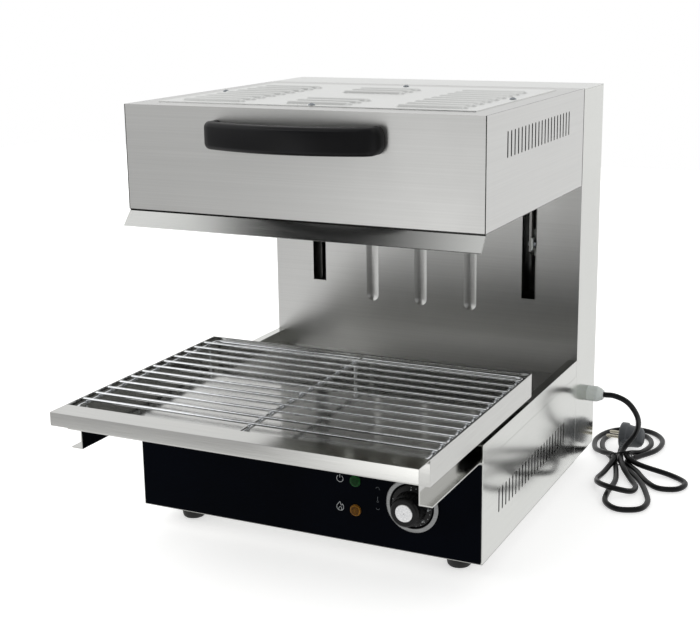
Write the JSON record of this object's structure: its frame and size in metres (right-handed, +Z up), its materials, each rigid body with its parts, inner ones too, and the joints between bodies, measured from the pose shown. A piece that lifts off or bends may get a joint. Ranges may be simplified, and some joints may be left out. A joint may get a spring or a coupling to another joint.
{
  "type": "cheese melter",
  "caption": "Countertop electric grill with a radiant head that slides up and down a rear column over a pull-out crumb tray with a wire rack.",
  "frame": {"origin": "on the standing surface under the rubber feet, midway between the sides, and midway between the front lip of the tray as stored and the heads of the screws in the column's back", "axes": "+X to the right as seen from the front, +Y from the front to the back (the long way of the footprint), +Z up; the front with the knob faces -Y"},
  "size_m": [0.5963, 0.7616, 0.529],
  "materials": {
    "brushed_body": "brushed stainless sheet",
    "inner_steel": "plain mill-finish sheet",
    "bright_wire": "bright plated wire",
    "polished_trim": "turned and brushed trim ring",
    "black_panel": "satin black",
    "black_grip": "satin black heat-resistant moulding",
    "black_rubber": "matt black",
    "sheathed_tube": "heat-darkened steel sheath",
    "ceramic": "glazed ceramic",
    "mineral_wool": "off-white mineral fibre board",
    "zinc_screw": "bright zinc plate",
    "spring_tube": "gloss black",
    "green_lens": "clear green moulding",
    "amber_lens": "clear amber moulding",
    "white_nylon": "natural nylon",
    "black_cable": "satin black sheath",
    "brass_pin": "nickel-plated brass"
  },
  "bodies": {
    "frame": {"base_side_left": "brushed_body", "base_side_right": "brushed_body", "base_floor": "inner_steel", "base_deck": "brushed_body", "front_plate": "brushed_body", "control_panel": "black_panel", "rail_left": "brushed_body", "rail_right": "brushed_body", "feet": "black_rubber", "foot_screws": "zinc_screw", "column_front": "brushed_body", "column_side_left": "brushed_body", "column_side_right": "brushed_body", "column_back": "brushed_body", "column_floor": "inner_steel", "column_top": "brushed_body", "column_screws": "zinc_screw", "guide_rails": "inner_steel", "gas_cylinders": "spring_tube", "spring_forks": "inner_steel", "spring_pins": "zinc_screw", "knob_bezel": "polished_trim", "thermostat": "black_grip", "lamp_green": "green_lens", "lamp_amber": "amber_lens", "lamp_bodies": "black_grip", "terminal_block": "white_nylon", "cable_gland": "white_nylon", "mains_lead": "black_cable", "mains_plug": "black_cable", "plug_pins": "brass_pin", "lead_tie": "black_cable"},
    "head": {"head_shell": "brushed_body", "head_top_cover": "brushed_body", "cover_screws": "zinc_screw", "head_lip": "brushed_body", "head_rear": "brushed_body", "reflector": "inner_steel", "insulation": "mineral_wool", "element_left": "sheathed_tube", "element_right": "sheathed_tube", "element_combs": "ceramic", "element_terminals": "ceramic", "handle": "black_grip", "handle_screws": "zinc_screw", "lift_arm_left": "inner_steel", "lift_arm_right": "inner_steel", "arm_bolts": "zinc_screw", "guide_shoes": "white_nylon", "cross_tie": "inner_steel", "gas_rods": "bright_wire"},
    "tray": {"tray": "brushed_body", "runner_left": "inner_steel", "runner_right": "inner_steel"},
    "rack": {"rack_frame": "bright_wire", "rack_wires": "bright_wire", "rack_legs": "bright_wire"},
    "knob": {"knob": "black_grip", "knob_cap": "brushed_body", "thermostat_shaft": "zinc_screw"}
  },
  "joints": [
    {"name": "head_lift", "type": "slide", "parent": "frame", "child": "head", "axis": [0, 0, 1], "range_m": [-0.15, 0]},
    {"name": "tray_slide", "type": "slide", "parent": "frame", "child": "tray", "axis": [0, 1, 0], "range_m": [0, 0.175]},
    {"name": "rack_lift", "type": "slide", "parent": "tray", "child": "rack", "axis": [0, 0, 1], "range_m": [0, 0.03]},
    {"name": "knob_turn", "type": "hinge", "parent": "frame", "child": "knob", "pos_m": [0.142, -0.1397, 0.084], "axis": [0, 1, 0], "range_deg": [0, 285]}
  ]
}
